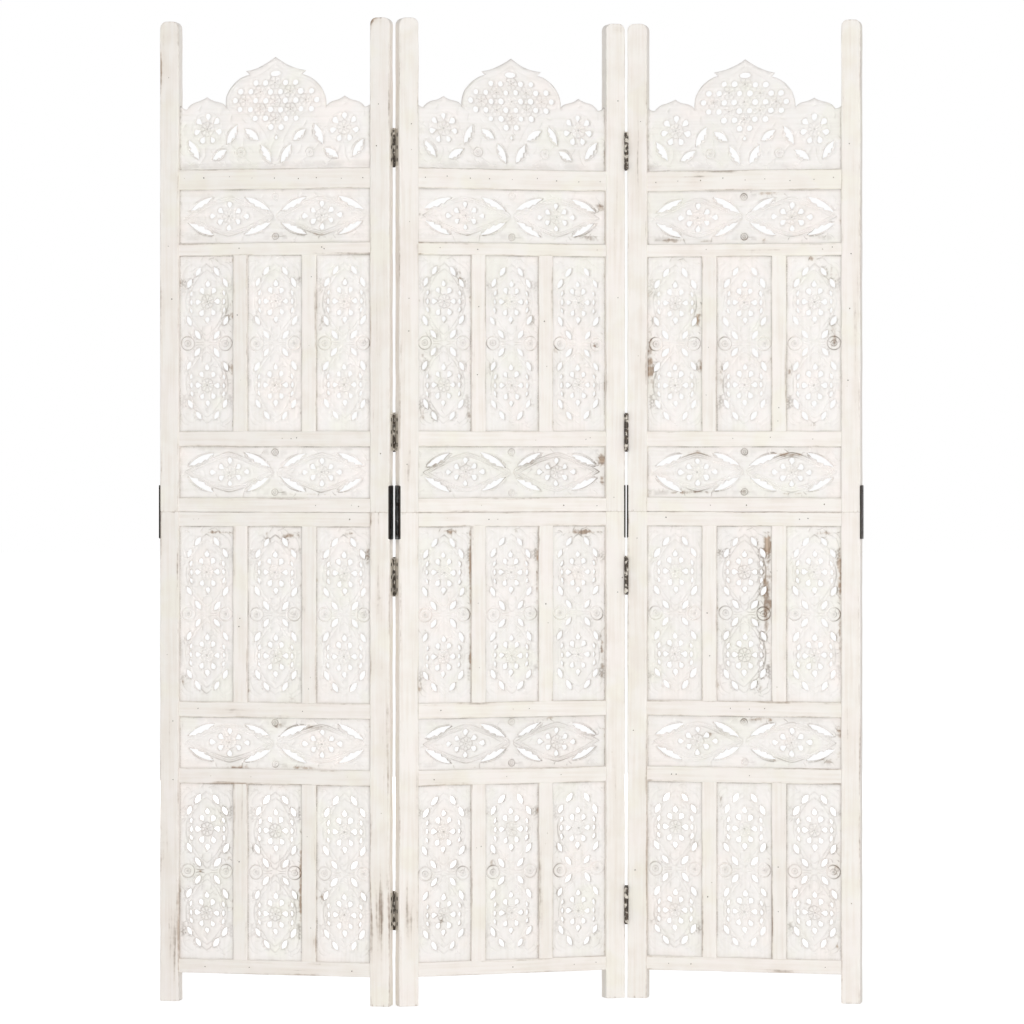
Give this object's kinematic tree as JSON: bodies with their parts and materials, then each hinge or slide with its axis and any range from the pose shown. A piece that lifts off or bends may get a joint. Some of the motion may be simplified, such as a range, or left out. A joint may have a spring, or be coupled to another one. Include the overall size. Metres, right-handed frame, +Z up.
{
  "type": "carved folding screen",
  "caption": "Free-standing zigzag room divider of hinged whitewashed wooden panels with pierced, carved boards and an ogee crest between tall stiles; it folds flat.",
  "frame": {"origin": "on the floor, under the middle of the standing screen's footprint", "axes": "+Z up, +X to the right and +Y to the back as seen from the front"},
  "size_m": [1.1842, 0.1476, 1.65],
  "materials": {
    "whitewashed_frame": "distressed whitewash, matte",
    "whitewashed_carving": "distressed whitewash on carving, matte",
    "blackened_iron": "black, satin",
    "hinge_iron": "dark iron with smears of whitewash",
    "screw_iron": "dull dark iron"
  },
  "bodies": {
    "middle_panel": {"middle_upper_left_stile": "whitewashed_frame", "middle_upper_right_stile": "whitewashed_frame", "middle_upper_rails": "whitewashed_frame", "middle_upper_muntins": "whitewashed_frame", "middle_upper_frieze": "whitewashed_carving", "middle_lower_left_stile": "whitewashed_frame", "middle_lower_right_stile": "whitewashed_frame", "middle_lower_rails": "whitewashed_frame", "middle_lower_muntins": "whitewashed_frame", "middle_lower_frieze": "whitewashed_carving", "middle_bottom_tall_boards": "whitewashed_carving", "middle_middle_tall_boards": "whitewashed_carving", "middle_top_tall_boards": "whitewashed_carving", "middle_crest_board": "whitewashed_carving", "middle_joining_plates": "blackened_iron", "middle_plate_screws": "screw_iron", "left_hinge_inner_leaves": "hinge_iron", "left_hinge_inner_screws": "screw_iron", "right_hinge_inner_leaves": "hinge_iron", "right_hinge_inner_screws": "screw_iron"},
    "left_panel": {"left_upper_left_stile": "whitewashed_frame", "left_upper_right_stile": "whitewashed_frame", "left_upper_rails": "whitewashed_frame", "left_upper_muntins": "whitewashed_frame", "left_upper_frieze": "whitewashed_carving", "left_lower_left_stile": "whitewashed_frame", "left_lower_right_stile": "whitewashed_frame", "left_lower_rails": "whitewashed_frame", "left_lower_muntins": "whitewashed_frame", "left_lower_frieze": "whitewashed_carving", "left_bottom_tall_boards": "whitewashed_carving", "left_middle_tall_boards": "whitewashed_carving", "left_top_tall_boards": "whitewashed_carving", "left_crest_board": "whitewashed_carving", "left_joining_plates": "blackened_iron", "left_plate_screws": "screw_iron", "left_hinge_outer_leaves": "hinge_iron", "left_hinge_outer_screws": "screw_iron", "left_hinge_pins": "hinge_iron"},
    "right_panel": {"right_upper_left_stile": "whitewashed_frame", "right_upper_right_stile": "whitewashed_frame", "right_upper_rails": "whitewashed_frame", "right_upper_muntins": "whitewashed_frame", "right_upper_frieze": "whitewashed_carving", "right_lower_left_stile": "whitewashed_frame", "right_lower_right_stile": "whitewashed_frame", "right_lower_rails": "whitewashed_frame", "right_lower_muntins": "whitewashed_frame", "right_lower_frieze": "whitewashed_carving", "right_bottom_tall_boards": "whitewashed_carving", "right_middle_tall_boards": "whitewashed_carving", "right_top_tall_boards": "whitewashed_carving", "right_crest_board": "whitewashed_carving", "right_joining_plates": "blackened_iron", "right_plate_screws": "screw_iron", "right_hinge_outer_leaves": "hinge_iron", "right_hinge_outer_screws": "screw_iron", "right_hinge_pins": "hinge_iron"}
  },
  "joints": [
    {"name": "left_fold", "type": "hinge", "parent": "middle_panel", "child": "left_panel", "pos_m": [-0.19529, -0.04615, 0], "axis": [0, 0, -1], "range_deg": [-30, 150]},
    {"name": "right_fold", "type": "hinge", "parent": "middle_panel", "child": "right_panel", "pos_m": [0.19581, 0.04623, 0], "axis": [0, 0, -1], "range_deg": [-30.5, 149.5]}
  ]
}
